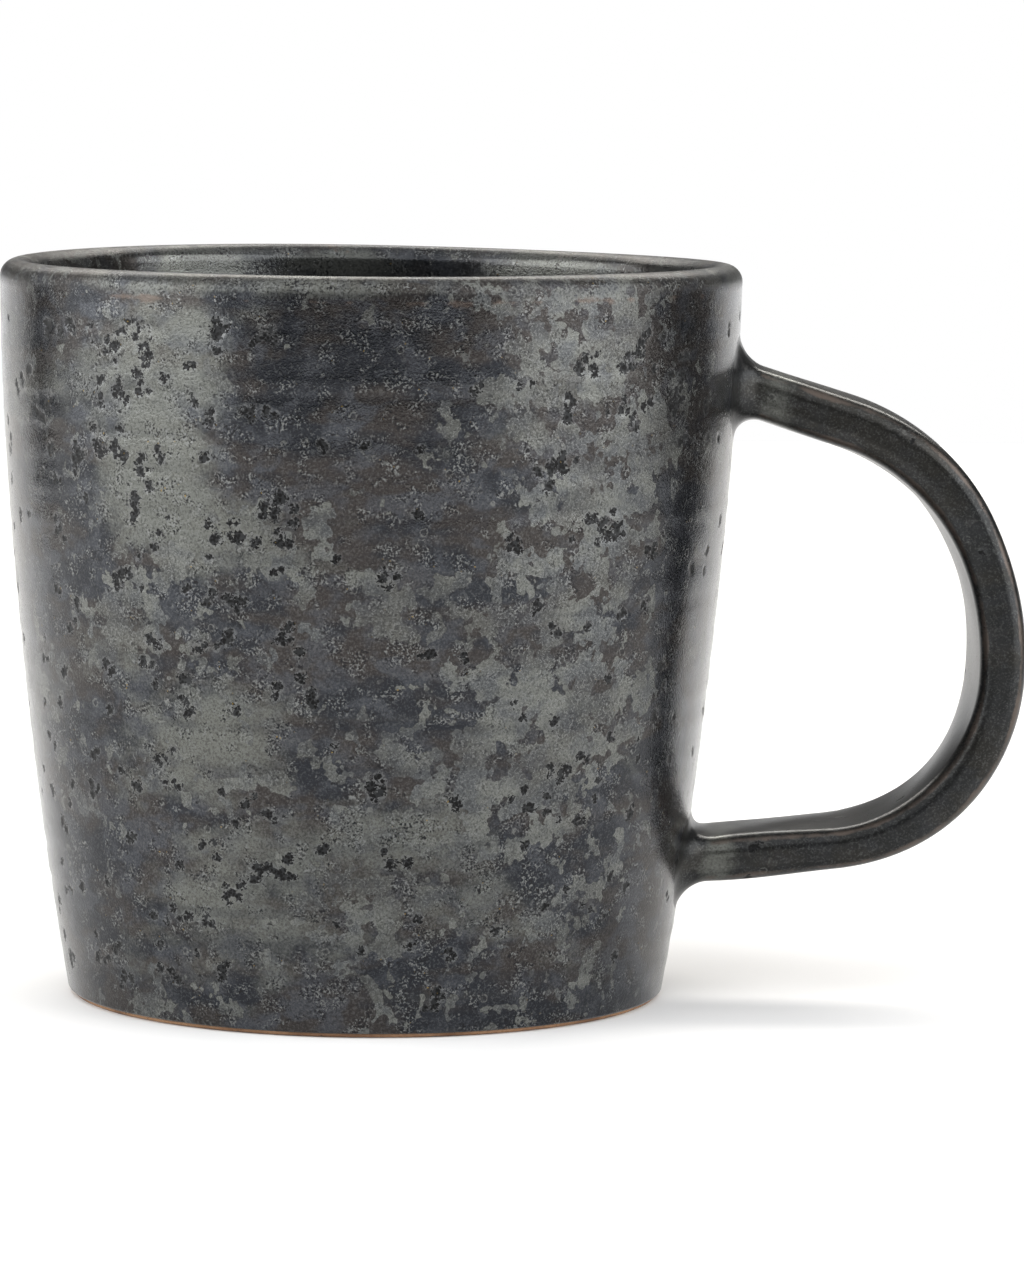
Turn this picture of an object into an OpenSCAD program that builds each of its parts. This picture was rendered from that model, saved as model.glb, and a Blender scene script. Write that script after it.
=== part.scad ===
// Hand-thrown stoneware mug with a pulled strap handle, glazed inside and out.
// The foot stands on z = 0 with the cup's axis on Z, and the handle points along +X.

/* [Cup] */
// Height of the lip's crest above the table
mug_h = 90; // [80:1:100]
// Outside diameter at the lip
lip_d = 90.5; // [86:0.5:96]
// Outside diameter at the foot
foot_d = 73; // [68:0.5:78]
// How far the wall bulges past a straight line from foot to lip
wall_bow = 1.75; // [0.5:0.05:2.5]
// Finished wall thickness at the lip
lip_t = 4.2; // [3.6:0.1:5]
// Finished wall thickness at the foot
foot_t = 5.6; // [5:0.1:7]
// Height of the drinking floor above the table
floor_z = 8; // [7:0.1:10]
// Radius of the curve between the wall and the drinking floor
floor_fillet = 9; // [4:0.5:12]

/* [Foot] */
// Depth of the recess turned under the base
recess_h = 2.2; // [1.6:0.1:3]
// Width of the flat bare ring that the mug stands on
ring_w = 4.6; // [3:0.1:6]
// Radius of the ring's outer corner
foot_corner = 0.5; // [0.3:0.1:0.5]
// Run of the sloping wall between the ring and the recess
recess_slope = 1.2; // [0.5:0.1:2]

/* [Glaze] */
// Thickness of the fired glaze
glaze_t = 0.4; // [0.3:0.05:0.6]
// Height above the table at which the outside glaze stops
glaze_line = 0.5; // [0.5:0.1:2]

/* [Handle] */
// Finished width of the strap, across the hand
strap_w = 16; // [13:0.5:19]
// Finished thickness of the strap at the upper root
strap_top_t = 5.9; // [5.4:0.1:7]
// Finished thickness of the strap at the lower root
strap_low_t = 5.2; // [5:0.1:6.6]
// Radius of the strap's long edges
strap_edge = 2; // [1.4:0.1:2.4]
// Height at which the upper arm's centre line leaves the wall
upper_root_z = 75.2; // [72:0.2:78]
// Height at which the lower arm's centre line meets the wall
lower_root_z = 17; // [14:0.1:19]
// Downward slope of the upper arm, in degrees
upper_slope = 18; // [14:1:24]
// Upward slope of the lower arm on its way out, in degrees
lower_slope = 5; // [4:1:14]
// Centre-line radius of the shoulder bend under the thumb
shoulder_r = 26; // [22:0.5:30]
// Centre-line radius of the long bend down the back
back_r = 35; // [30:1:40]
// Centre-line radius of the heel bend
heel_r = 22.5; // [17:0.5:23]
// Angle that the shoulder bend turns through
shoulder_turn = 45; // [44:1:55]
// Angle that the back bend turns through
back_turn = 31; // [30:1:42]

/* [Slip joints] */
// Thickness of the slip that lutes each arm to the wall
joint_t = 0.6; // [0.4:0.1:1]
// Radius of the slip fillet worked round each root
fillet_r = 3.4; // [2.6:0.1:4]

/* [Hidden] */
$fn = 240;

wall_rise = 5;        // height of one step of the wall's outline
corner_steps = 4;     // straight pieces in a small rounded corner
lip_steps = 12;       // straight pieces in the lip's half round
floor_steps = 8;      // straight pieces in the floor's curve
fillet_steps = 6;     // rings round a slip fillet
side_steps = 4;       // straight pieces along a fillet's wide side, so that it follows the wall
bend_step_angle = 5;  // degrees between the strap's sections on a bend
fillet_end = 76;      // degrees of a fillet's quarter round that are built
root_depth = 3;       // how far an arm's solid starts inside the wall before it is trimmed
proud = 0.05;         // a fillet's foot stands this far out of the wall, for a clean edge

lip_r = lip_t / 2;
lip_z = mug_h - lip_r;
lip_centre = wall_r(lip_z) - lip_r;
recess_r = foot_d / 2 - glaze_t - foot_corner - ring_w - recess_slope;
heel_turn = 180 - upper_slope - lower_slope - shoulder_turn - back_turn;

clay = [0.70, 0.55, 0.41];
slip = [0.60, 0.47, 0.36];
slate = [0.31, 0.31, 0.32];
slate_light = [0.40, 0.40, 0.39];
slate_dark = [0.24, 0.24, 0.26];

// ---- The cup's outline, as radius against height ----

// Finished outside radius
function wall_r(z) =
    let (t = z / mug_h)
    foot_d / 2 + (lip_d - foot_d) / 2 * t + 4 * wall_bow * t * (1 - t);
// Finished inside radius
function bore_r(z) = wall_r(z) - lip_t - (foot_t - lip_t) * (1 - z / lip_z);
// Lean of the wall from upright, in degrees
function wall_lean(z) = atan(wall_r(z + 0.5) - wall_r(z - 0.5));

function arc(x, z, r, from, to, steps) =
    [for (i = [0 : steps]) let (a = from + (to - from) * i / steps) [x + r * cos(a), z + r * sin(a)]];
function heights(from, to) =
    let (steps = round((to - from) / wall_rise)) [for (i = [0 : steps]) from + (to - from) * i / steps];
function reversed(list) = [for (i = [len(list) - 1 : -1 : 0]) list[i]];

// The outside wall from one height up to another, a skin's thickness inside the finished surface
function outside(from, to, skin) = [for (z = heights(from, to)) [wall_r(z) - skin, z]];
// The bore from the lip down to the floor's curve and across to the axis
function inside(skin) =
    let (low = floor_z + floor_fillet,
         side = bore_r(low) + skin,
         curve = floor_fillet + skin)
    concat(
        reversed([for (z = heights(low + wall_rise, lip_z)) [bore_r(z) + skin, z]]),
        arc(side - curve, low, curve, 0, -90, floor_steps),
        [[0, floor_z - skin]]);
// The lip's round between two angles, 0 being the outside and 180 the inside
function lip(from, to, skin) =
    arc(lip_centre, lip_z, lip_r - skin, from, to, lip_steps * abs(to - from) / 180);

// The clay's underside from the axis out to where the glaze stops
function foot_outline() =
    let (ring_edge = wall_r(foot_corner) - glaze_t - foot_corner)
    concat(
        [[0, recess_h], [recess_r, recess_h], [recess_r + recess_slope, 0]],
        arc(ring_edge, foot_corner, foot_corner, -90, -wall_lean(foot_corner), corner_steps),
        [[wall_r(glaze_line) - glaze_t, glaze_line]]);

// ---- The handle's centre line ----

// Step from start to end of a bend that is entered on a heading and turns clockwise
function bend_step(heading, r, turn) =
    r * [sin(heading) - sin(heading - turn), cos(heading - turn) - cos(heading)];
function direction(heading) = [cos(heading), sin(heading)];
function cross2(a, b) = a[0] * b[1] - a[1] * b[0];

headings = [-upper_slope, -upper_slope - shoulder_turn, -upper_slope - shoulder_turn - back_turn,
            lower_slope - 180];
bends = bend_step(headings[0], shoulder_r, shoulder_turn)
      + bend_step(headings[1], back_r, back_turn)
      + bend_step(headings[2], heel_r, heel_turn);
// The two straight arms take up what the bends leave between the roots
upper_root = [wall_r(upper_root_z), upper_root_z];
lower_root = [wall_r(lower_root_z), lower_root_z];
gap = lower_root - upper_root - bends;
arm_out = direction(headings[0]);
arm_back = direction(headings[3]);
upper_arm = cross2(gap, arm_back) / cross2(arm_out, arm_back);

// Stations round a bend after its start, each a centre point and a heading
function round_bend(start, heading, r, turn) =
    let (steps = ceil(turn / bend_step_angle))
    [for (i = [1 : steps])
        let (turned = turn * i / steps)
        [start + bend_step(heading, r, turned), heading - turned]];

shoulder_start = upper_root + upper_arm * arm_out;
back_start = shoulder_start + bend_step(headings[0], shoulder_r, shoulder_turn);
heel_start = back_start + bend_step(headings[1], back_r, back_turn);
stations = concat(
    [[upper_root - root_depth * arm_out, headings[0]], [shoulder_start, headings[0]]],
    round_bend(shoulder_start, headings[0], shoulder_r, shoulder_turn),
    round_bend(back_start, headings[1], back_r, back_turn),
    round_bend(heel_start, headings[2], heel_r, heel_turn),
    [[lower_root + root_depth * arm_back, headings[3]]]);

// ---- Shared shapes ----

module ring_of(outline) rotate_extrude() polygon(outline);

// Everything inside the outer wall, as a tool that trims what joins the wall
module wall_tool(skin)
    ring_of(concat([[0, 0]], outside(0, mug_h, skin), [[0, mug_h]]));

// Points round a rounded rectangle, each with the outward direction of its edge.
// Its two wide sides are cut into a number of steps.
function section_rim(w, t, edge, side_steps) =
    let (across = w / 2 - edge, up = t / 2 - edge)
    [for (half = [1, -1])
        each concat(
            [for (i = [0 : corner_steps])
                let (a = 90 * (1 - half + i / corner_steps))
                [[half * across + edge * cos(a), half * up + edge * sin(a)], [cos(a), sin(a)]]],
            [for (i = [1 : side_steps - 1])
                [[half * across * (1 - 2 * i / side_steps), half * t / 2], [0, half]]],
            [for (i = [0 : corner_steps])
                let (a = 90 * (2 - half + i / corner_steps))
                [[-half * across + edge * cos(a), half * up + edge * sin(a)], [cos(a), sin(a)]]])];

// The rim of the strap's section at a height, a skin's thickness inside its finished surface
function strap_rim(z, skin, side_steps) =
    let (t = strap_low_t + (strap_top_t - strap_low_t) * (z - lower_root_z) / (upper_root_z - lower_root_z))
    section_rim(strap_w - 2 * skin, t - 2 * skin, strap_edge - skin, side_steps);

// A closed skin over rings of points, with a fan to a centre point at each end
module loft(rings, centres) {
    n = len(rings[0]);
    last = len(rings) - 1;
    polyhedron(
        concat([for (ring = rings) each ring], centres),
        concat(
            [for (j = [0 : n - 1]) [(last + 1) * n, j, (j + 1) % n]],
            [for (i = [0 : last - 1], j = [0 : n - 1])
                [i * n + j, (i + 1) * n + j, i * n + (j + 1) % n]],
            [for (i = [0 : last - 1], j = [0 : n - 1])
                [(i + 1) * n + j, (i + 1) * n + (j + 1) % n, i * n + (j + 1) % n]],
            [for (j = [0 : n - 1]) [(last + 1) * n + 1, last * n + (j + 1) % n, last * n + j]]));
}

// The whole strap, from inside the wall at the upper root to inside it at the lower one
module strap(skin)
    loft(
        [for (station = stations)
            [for (point = strap_rim(station[0][1], skin, 1))
                let (side = station[0] + point[0][1] * direction(station[1] + 90))
                [side[0], point[0][0], side[1]]]],
        [for (end = [stations[0], stations[len(stations) - 1]]) [end[0][0], 0, end[0][1]]]);

// Centre of an arm as it passes a distance from the cup's axis
function arm_centre(root_z, slope, x) = [x, 0, root_z - tan(slope) * (x - wall_r(root_z))];

// One ring of a root's collar, which stands out from the wall and spreads round the strap
function collar_ring(root_z, slope, out, spread, skin) =
    [for (point = strap_rim(root_z, skin, side_steps))
        let (y = point[0][0] + point[1][0] * spread,
             rise = point[0][1] / cos(slope) + point[1][1] * spread,
             wall = wall_r(root_z + rise) - skin,
             x = sqrt(wall * wall - y * y) + out)
        arm_centre(root_z, slope, x) + [0, y, rise]];

// A plug with a concave fillet at one root: level with the clay, or with the glaze over it
module collar(root_z, slope, skin) {
    rings = concat(
        [collar_ring(root_z, slope, -2 * joint_t, fillet_r, skin)],
        [for (i = [0 : fillet_steps])
            let (a = fillet_end * i / fillet_steps)
            collar_ring(root_z, slope, proud + fillet_r * (1 - cos(a)), fillet_r * (1 - sin(a)), skin)]);
    loft(rings, [for (ring = [rings[0], rings[len(rings) - 1]]) arm_centre(root_z, slope, ring[0][0])]);
}

module upper_collar(skin) collar(upper_root_z, upper_slope, skin);
module lower_collar(skin) collar(lower_root_z, -lower_slope, skin);

// ---- The pieces ----

// Thrown and turned clay: wall, floor and foot ring
module cup_body()
    color(clay) ring_of(concat(
        foot_outline(),
        outside(wall_rise, lip_z, glaze_t),
        lip(0, 180, glaze_t),
        inside(glaze_t)));

// Pulled clay strap, cut to the curve of the wall at both ends
module handle()
    color(clay) difference() {
        strap(glaze_t);
        wall_tool(glaze_t - joint_t);
    }

// Clay slip between an arm and the wall, with the fillet worked round it
module slip_joint()
    color(slip) difference() {
        children();
        wall_tool(glaze_t);
        handle();
    }
module upper_slip_joint() slip_joint() upper_collar(glaze_t);
module lower_slip_joint() slip_joint() lower_collar(glaze_t);

// Glaze on the outside wall, from above the bare foot to the lip's crest
module outer_glaze()
    color(slate) difference() {
        ring_of(concat(
            [[wall_r(glaze_line) - glaze_t, glaze_line]],
            arc(wall_r(glaze_line + glaze_t) - glaze_t, glaze_line + glaze_t, glaze_t,
                -90, 0, corner_steps),
            outside(wall_rise, lip_z, 0),
            lip(0, 90, 0),
            reversed(lip(0, 90, glaze_t)),
            reversed(outside(wall_rise, lip_z, glaze_t))));
        upper_collar(0);
        lower_collar(0);
    }

// Glaze poured inside, from the lip's crest down over the floor
module liner_glaze()
    color(slate_dark) ring_of(concat(
        lip(90, 180, glaze_t),
        inside(glaze_t),
        reversed(inside(0)),
        reversed(lip(90, 180, 0))));

// Glaze left in the recess under the base
module base_glaze()
    color(slate_dark) ring_of([
        [0, recess_h - glaze_t],
        [recess_r - glaze_t, recess_h - glaze_t],
        [recess_r, recess_h],
        [0, recess_h]]);

// Glaze over the strap and over both slip fillets
module handle_glaze()
    color(slate_light) difference() {
        union() {
            strap(0);
            upper_collar(0);
            lower_collar(0);
        }
        wall_tool(glaze_t);
        strap(glaze_t);
        upper_collar(glaze_t);
        lower_collar(glaze_t);
    }

cup_body();
handle();
upper_slip_joint();
lower_slip_joint();
outer_glaze();
liner_glaze();
base_glaze();
handle_glaze();
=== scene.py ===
import math

import bmesh
import bpy
import numpy as np
from mathutils import Matrix, Vector


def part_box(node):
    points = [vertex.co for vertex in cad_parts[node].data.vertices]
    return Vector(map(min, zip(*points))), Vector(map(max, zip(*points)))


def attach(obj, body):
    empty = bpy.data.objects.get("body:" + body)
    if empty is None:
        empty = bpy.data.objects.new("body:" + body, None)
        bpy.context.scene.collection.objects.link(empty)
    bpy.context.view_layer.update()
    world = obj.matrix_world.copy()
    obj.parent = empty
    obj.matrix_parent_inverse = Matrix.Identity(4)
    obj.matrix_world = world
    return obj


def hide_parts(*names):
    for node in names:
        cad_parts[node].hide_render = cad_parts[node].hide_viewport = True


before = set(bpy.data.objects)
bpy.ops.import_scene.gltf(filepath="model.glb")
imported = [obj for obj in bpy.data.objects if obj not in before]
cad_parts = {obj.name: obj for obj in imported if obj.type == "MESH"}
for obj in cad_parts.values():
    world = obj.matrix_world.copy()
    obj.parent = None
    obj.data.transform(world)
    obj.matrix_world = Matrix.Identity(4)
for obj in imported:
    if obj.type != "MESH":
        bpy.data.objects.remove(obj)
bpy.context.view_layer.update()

MM = 0.001

# ---- The cup's outline, as the CAD has it. Lengths are in millimetres and angles in degrees ----

MUG_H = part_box("liner_glaze")[1].z / MM
LIP_D = 90.5
FOOT_D = 73.0
WALL_BOW = 1.75
LIP_T = 4.2
FOOT_T = 5.6
FLOOR_RISE = 8.0
FLOOR_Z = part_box("cup_body")[0].z / MM + FLOOR_RISE
FLOOR_FILLET = 9.0
RECESS_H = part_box("base_glaze")[1].z / MM
RECESS_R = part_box("base_glaze")[1].x / MM
# How much wider the recess is at the table than at its top
RECESS_SLOPE = 1.2
FOOT_CORNER = 0.5
GLAZE_T = 0.4
# The bare clay shows below this height
GLAZE_LINE = 0.5
LIP_R = LIP_T / 2
LIP_Z = MUG_H - LIP_R

# ---- The handle's centre line, as the CAD has it ----

STRAP_W = 16.0
STRAP_TOP_T = 5.9
STRAP_LOW_T = 5.2
STRAP_EDGE = 2.0
UPPER_ROOT_Z = 75.2
LOWER_ROOT_Z = 17.0
UPPER_SLOPE = 18.0
LOWER_SLOPE = 5.0
SHOULDER_R = 26.0
BACK_R = 35.0
HEEL_R = 22.5
SHOULDER_TURN = 45.0
BACK_TURN = 31.0
HEEL_TURN = 180.0 - UPPER_SLOPE - LOWER_SLOPE - SHOULDER_TURN - BACK_TURN
FILLET_R = 3.4


def wall_r(z):
    """The cup's outer radius at a height."""
    t = np.asarray(z, float) / MUG_H
    return FOOT_D / 2 + (LIP_D - FOOT_D) / 2 * t + 4 * WALL_BOW * t * (1 - t)


def bore_r(z):
    """The cup's inner radius at a height, above the floor's fillet."""
    z = np.asarray(z, float)
    return wall_r(z) - LIP_T - (FOOT_T - LIP_T) * (1 - z / LIP_Z)


LIP_CENTRE = float(wall_r(LIP_Z)) - LIP_R
# Where the bore's straight wall meets the fillet of the floor, and the edge of the flat floor
LOW_Z = FLOOR_Z + FLOOR_FILLET
LOW_R = float(bore_r(LOW_Z))
FLAT_R = LOW_R - FLOOR_FILLET

# ---- The hand-made surface: one field that every skin and the clay follow ----

rng = np.random.default_rng(7)


def smoothstep(low, high, x):
    t = np.clip((x - low) / (high - low), 0, 1)
    return t * t * (3 - 2 * t)


class Waves:
    """A smooth field round the cup, made of waves that close on themselves.

    Turns is the range of whole waves round the cup, and heights the range of their pitch in mm.
    """

    def __init__(self, turns, heights, count):
        self.m = rng.integers(turns[0], turns[1] + 1, count)
        self.k = 2 * math.pi / rng.uniform(heights[0], heights[1], count)
        self.k *= rng.choice([-1, 1], count)
        self.phase = rng.uniform(0, 2 * math.pi, count)
        self.scale = math.sqrt(2 / count)

    def __call__(self, angle, z):
        total = 0.0
        for m, k, p in zip(self.m, self.k, self.phase):
            total = total + np.sin(m * angle + k * z + p)
        return total * self.scale


wobble_field = Waves((1, 4), (60, 160), 6)
drift_field = Waves((1, 3), (30, 90), 5)
ring_strength = Waves((1, 5), (14, 40), 8)
ring_detail = Waves((0, 2), (1.6, 3.4), 9)
inner_detail = Waves((0, 2), (2.2, 5.0), 9)

# Depths and pitches in mm
WOBBLE = 0.07
RING_PITCH = 4.3
RING_DEPTH = 0.036
RING_DETAIL = 0.008
INNER_RING_PITCH = 6.2
INNER_RING_DEPTH = 0.13
INNER_RING_DETAIL = 0.03
RIM_OVAL = 0.13
RIM_SWAY = 0.05
RIM_HIGH_AT = math.radians(125)


def below_lip(z):
    """1 on the wall, fading to 0 where the lip is wiped smooth."""
    return 1 - smoothstep(MUG_H - 8.0, MUG_H - 2.5, z)


def ridge_height(angle, z):
    """The throwing rings: a shallow spiral with finer lines, which comes and goes and fades upwards."""
    phase = 2 * math.pi * z / RING_PITCH - angle + 0.6 * drift_field(angle, z)
    spiral = np.sin(phase) + 0.35 * np.sin(2 * phase + 0.8)
    strength = np.clip(0.7 + 0.4 * ring_strength(angle, z), 0.1, 1.4)
    strength = strength * (1.3 - 0.8 * z / MUG_H)
    return RING_DEPTH * spiral * strength + RING_DETAIL * ring_detail(angle, z)


def wobble(angle, z):
    """How far the cup is out of round, from nothing at the foot."""
    return WOBBLE * wobble_field(angle, z) * smoothstep(0.0, 12.0, z)


def outer_offset(angle, z):
    """How far the outer surface stands out from the CAD's wall."""
    fade = smoothstep(1.0, 6.0, z) * below_lip(z)
    return wobble(angle, z) + ridge_height(angle, z) * fade


def inner_offset(angle, z):
    """How far the inner surface stands in from the CAD's bore."""
    fade = smoothstep(FLOOR_Z, LOW_Z, z) * below_lip(z)
    rings = INNER_RING_DEPTH * np.sin(2 * math.pi * z / INNER_RING_PITCH - angle + drift_field(angle, z))
    rings = rings + INNER_RING_DETAIL * inner_detail(angle, z)
    return -wobble(angle, z) + rings * fade


def rim_lift(angle, z):
    """The rim is a little out of true: it is highest at the back left and the front right."""
    lift = RIM_OVAL * np.cos(2 * (angle - RIM_HIGH_AT)) + RIM_SWAY * np.cos(3 * angle + 0.7)
    return lift * smoothstep(0.45 * MUG_H, MUG_H, z)


# ---- Meshes made of rings ----

# Vertices round the cup on the surfaces that show and on the hidden ones
AROUND = 352
HIDDEN = 176
# Edges that turn more than this stay sharp
SHARP_ANGLE = math.radians(62)


def spaced(start, end, step):
    """Values from start to end, both included, about a step apart."""
    return np.linspace(start, end, max(1, round(abs(end - start) / step)) + 1)


def arc(x, z, r, angles):
    """Points on a circle round (x, z), for an outline."""
    a = np.radians(angles)
    return np.column_stack([x + r * np.cos(a), z + r * np.sin(a)])


def bridge(faces, a, na, b, nb):
    """Faces between two closed rings of vertices, a before b, with the outside on the left going a to b."""
    if na == nb:
        for i in range(na):
            j = (i + 1) % na
            faces.append((a + i, a + j, b + j, b + i))
        return
    i = j = 0
    while i < na or j < nb:
        if j == nb or (i < na and (i + 1) / na <= (j + 1) / nb):
            faces.append((a + i, a + (i + 1) % na, b + j % nb))
            i += 1
        else:
            faces.append((a + i % na, b + (j + 1) % nb, b + j))
            j += 1


def rings_mesh(rings, closed, caps=(None, None)):
    """Vertices and faces of a skin over rings of points.

    Closed joins the last ring to the first. A cap is a point that closes the first or the last ring.
    """
    starts = np.cumsum([0] + [len(ring) for ring in rings]).tolist()[:-1]
    faces = []
    for k in range(len(rings) - 1):
        bridge(faces, starts[k], len(rings[k]), starts[k + 1], len(rings[k + 1]))
    if closed:
        bridge(faces, starts[-1], len(rings[-1]), starts[0], len(rings[0]))
    points = np.vstack(rings)
    for end, cap in zip((0, -1), caps):
        if cap is None:
            continue
        tip = len(points)
        points = np.vstack([points, cap])
        n, s = len(rings[end]), starts[end]
        for i in range(n):
            j = (i + 1) % n
            faces.append((s + j, s + i, tip) if end == 0 else (s + i, s + j, tip))
    return points, faces


def turned(outline, counts):
    """Rings of points round the axis, one for each (radius, height) of an outline."""
    rings = []
    for (r, z), n in zip(outline, counts):
        a = 2 * math.pi * np.arange(n) / n
        rings.append(np.column_stack([r * np.cos(a), r * np.sin(a), np.full(n, z)]))
    return rings


def make_object(name, points, faces):
    mesh = bpy.data.meshes.new(name)
    mesh.from_pydata((points * MM).tolist(), [], faces)
    mesh.update()
    obj = bpy.data.objects.new(name, mesh)
    bpy.context.scene.collection.objects.link(obj)
    return obj


def coords(mesh):
    flat = np.empty(len(mesh.vertices) * 3)
    mesh.vertices.foreach_get("co", flat)
    return flat.reshape(-1, 3) / MM


def normals(mesh):
    flat = np.empty(len(mesh.vertices) * 3)
    mesh.vertices.foreach_get("normal", flat)
    return flat.reshape(-1, 3)


def set_coords(mesh, points):
    mesh.vertices.foreach_set("co", (points * MM).ravel())
    mesh.update()


def set_attribute(mesh, name, values):
    layer = mesh.attributes.new(name, "FLOAT", "POINT")
    every = np.broadcast_to(values, (len(mesh.vertices),))
    layer.data.foreach_set("value", np.ascontiguousarray(every, float))


def finish_mesh(obj):
    mesh = obj.data
    for poly in mesh.polygons:
        poly.use_smooth = True
    mesh.set_sharp_from_angle(angle=SHARP_ANGLE)


# ---- Pits ----

PIT_RADIUS = (0.34, 0.62)
PIT_DEPTH = 0.09
PIT_RIM = 0.01
# Clusters of pits spread evenly over the outside and over the bore
STRAY_CLUSTERS = 310
BORE_CLUSTERS = 90
# How far apart the pits of a cluster are, where clusters gather, where they are strays and in the bore
PATCH_SPREAD = 0.75
STRAY_SPREAD = 0.45
BORE_SPREAD = 0.6


def nearest_pits(points, pits):
    """How deep each point is in the closest pit's reach: 1 at its centre, 0 from twice its radius out."""
    best = np.zeros(len(points))
    for centre, radius in pits:
        near = np.abs(points[:, 2] - centre[2]) < 2 * radius
        near &= np.abs(points[:, 1] - centre[1]) < 2 * radius
        near &= np.abs(points[:, 0] - centre[0]) < 2 * radius
        index = np.nonzero(near)[0]
        if len(index) == 0:
            continue
        d = np.linalg.norm(points[index] - centre, axis=1)
        best[index] = np.maximum(best[index], 1 - np.clip(d / (2 * radius), 0, 1))
    return best


def refine(obj, pits):
    """Cuts the faces near pits finer."""
    bm = bmesh.new()
    bm.from_mesh(obj.data)
    points = np.array([v.co[:] for v in bm.verts]) / MM
    reach = nearest_pits(points, [(centre, radius * 1.25 + 0.25) for centre, radius in pits])
    edges = [e for e in bm.edges if min(reach[v.index] for v in e.verts) > 0.02]
    bmesh.ops.subdivide_edges(bm, edges=edges, cuts=1, use_grid_fill=True)
    bmesh.ops.triangulate(bm, faces=[f for f in bm.faces if len(f.verts) > 4])
    bm.to_mesh(obj.data)
    bm.free()
    obj.data.update()


def wall_point(angle, z, r):
    return np.array([r * math.cos(angle), r * math.sin(angle), z])


def cluster(angle, z, spread, count, radius_at):
    """A few pits run together round one spot."""
    made = []
    for _ in range(count):
        da, dz = rng.normal(0, spread, 2)
        zz = z + dz
        r = float(radius_at(zz))
        made.append((wall_point(angle + da / r, zz, r), float(rng.uniform(*PIT_RADIUS))))
    return made


# Where pits gather on the outside: angle in degrees, height in mm, spread and how many clusters
PIT_PATCHES = [(-133, 79, 9, 15), (-128, 68, 8, 9), (-112, 76, 8, 8), (-60, 72, 8, 9), (-122, 58, 8, 9),
               (-105, 52, 9, 9), (-100, 36, 10, 9), (-135, 33, 9, 7), (-118, 8, 9, 10), (-70, 34, 9, 7),
               (-48, 80, 6, 8), (-55, 50, 9, 5), (-150, 60, 12, 8), (-160, 25, 12, 7)]


def outer_pits():
    pits = []
    for angle, z, spread, count in PIT_PATCHES:
        for _ in range(count):
            da, dz = rng.normal(0, spread, 2)
            zz = float(np.clip(z + dz, 5.0, MUG_H - 6.5))
            a = math.radians(angle) + da / float(wall_r(zz))
            pits += cluster(a, zz, PATCH_SPREAD, int(rng.integers(1, 7)), wall_r)
    for _ in range(STRAY_CLUSTERS):
        a = rng.uniform(0, 2 * math.pi)
        zz = float(rng.uniform(4.0, MUG_H - 6.0))
        pits += cluster(a, zz, STRAY_SPREAD, int(rng.integers(1, 3)), wall_r)
    return pits


def bore_pits():
    pits = []
    for _ in range(BORE_CLUSTERS):
        a = rng.uniform(0, 2 * math.pi)
        zz = float(rng.uniform(LOW_Z, MUG_H - 5.0))
        pits += cluster(a, zz, BORE_SPREAD, int(rng.integers(1, 4)), bore_r)
    return pits


def pit_profile(reach):
    """Depth of a pit from how far into its reach a point is: a bowl with a faint raised rim."""
    bowl = smoothstep(0.42, 0.85, reach)
    rim = smoothstep(0.2, 0.38, reach) * (1 - smoothstep(0.38, 0.52, reach))
    return PIT_DEPTH * bowl - PIT_RIM * rim


# ---- Broad colour fields ----

# Each table: angle in degrees, height, half width and half height in mm, strength.
# Where the glaze breaks up into pale islands, and where it stays free of them
ISLAND_PATCHES = [(-60, 74, 12, 14, 0.5), (-52, 60, 9, 13, 0.36), (-58, 40, 15, 9, 0.3), (-88, 34, 9, 5, 0.4),
                  (-62, 24, 12, 10, 0.45), (-85, 51, 14, 4, 0.35), (-118, 44, 12, 5, 0.25),
                  (-88, 14, 10, 5, 0.15), (-120, 20, 16, 14, -0.25), (-86, 80, 9, 10, -0.5),
                  (-95, 66, 20, 5, -0.3), (-128, 78, 14, 10, -0.4), (-33, 40, 5, 40, -0.3)]
# Where it is washed over with a soft pale veil
VEIL_PATCHES = [(-127, 76, 12, 11, 1.0), (-118, 60, 14, 5, 0.6), (-125, 42, 13, 9, 0.55),
                (-116, 26, 18, 12, 0.6), (-95, 12, 24, 7, 0.45), (-72, 34, 12, 8, 0.3)]
island_noise = Waves((2, 9), (16, 60), 14)
veil_noise = Waves((2, 8), (14, 50), 12)
# Pale washes inside, below the lip
LINER_VEIL = [(122, 86, 8, 5, 1.1), (53, 86, 9, 4, 1.3), (92, 88, 9, 2, 0.5), (160, 84, 9, 5, 0.7),
              (20, 84, 9, 6, 0.6)]
# The arc lengths in those tables are taken at this radius
PATCH_R = 42
# Turns the fields by this much for the liner, so it doesn't repeat the outside
LINER_TURN = 2.6


def patches(angle, z, table):
    """The sum of a table's soft oval patches."""
    total = 0.0
    for a0, z0, wide, high, strength in table:
        da = (angle - math.radians(a0) + math.pi) % (2 * math.pi) - math.pi
        total = total + strength * np.exp(-((da * PATCH_R / wide) ** 2 + ((z - z0) / high) ** 2))
    return total


def island_field(angle, z):
    """0 where no island forms to 1 where the glaze is nearly all islands."""
    return np.clip(0.4 + patches(angle, z, ISLAND_PATCHES) + 0.16 * island_noise(angle, z), 0, 1)


def veil_field(angle, z):
    """0 where the glaze is clear to 1 where the veil is thickest."""
    return np.clip(patches(angle, z, VEIL_PATCHES) + 0.16 * veil_noise(angle, z), 0, 1)


# ---- Materials ----


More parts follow.
